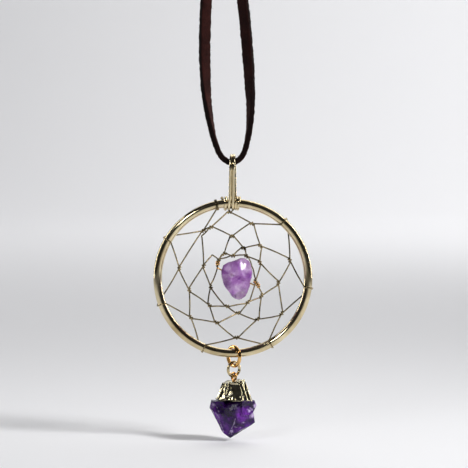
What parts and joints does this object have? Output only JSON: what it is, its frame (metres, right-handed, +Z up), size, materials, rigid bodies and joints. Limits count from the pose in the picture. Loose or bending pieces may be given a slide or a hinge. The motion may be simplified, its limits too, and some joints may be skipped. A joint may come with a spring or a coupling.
{
  "type": "dream catcher pendant",
  "caption": "Wire hoop pendant with a knotted wire web round a drilled lavender stone, a capped violet crystal on jump rings below, and a flat suede lace through its bail.",
  "frame": {"origin": "the hanging point in the crook of the lace, just under its knot", "axes": "+Z up along the hanging lace, -Y out of the hoop's face towards the viewer, +X to the viewer's right"},
  "size_m": [0.043, 0.0114, 0.1753],
  "materials": {
    "gold_wire": "polished",
    "ring_gold": "polished",
    "plated_cap": "polished",
    "suede": "matte",
    "lavender_stone": "polished",
    "violet_crystal": "polished"
  },
  "bodies": {
    "lace": {"suede_lace": "suede", "lace_knot": "suede"},
    "pendant": {"bail": "gold_wire", "bail_wraps": "gold_wire", "hoop": "gold_wire", "web": "gold_wire", "stone_wire": "ring_gold"},
    "stone": {"centre_stone": "lavender_stone"},
    "upper_ring": {"jump_ring_upper": "ring_gold"},
    "lower_ring": {"jump_ring_lower": "ring_gold"},
    "charm": {"cap_eye": "ring_gold", "crystal_cap": "plated_cap", "crystal": "violet_crystal"}
  },
  "joints": [
    {"name": "bail_swing", "type": "hinge", "parent": "lace", "child": "pendant", "pos_m": [0.00265, 0, -0.08165], "axis": [1, 0, 0], "range_deg": [-45, 45]},
    {"name": "stone_spin", "type": "hinge", "parent": "pendant", "child": "stone", "pos_m": [0.00423, -0.00043, -0.11171], "axis": [0.9078, 0, -0.4193], "range_deg": [-60, 75]},
    {"name": "ring_swing", "type": "hinge", "parent": "pendant", "child": "upper_ring", "pos_m": [0.00324, 0, -0.13235], "axis": [1, 0, 0], "range_deg": [-60, 60]},
    {"name": "link_swing", "type": "hinge", "parent": "upper_ring", "child": "lower_ring", "pos_m": [0.00324, 0, -0.13578], "axis": [0.5736, -0.8192, 0], "range_deg": [-50, 50]},
    {"name": "charm_swing", "type": "hinge", "parent": "lower_ring", "child": "charm", "pos_m": [0.00324, 0, -0.13856], "axis": [0.8192, 0.5736, 0], "range_deg": [-40, 40]}
  ]
}
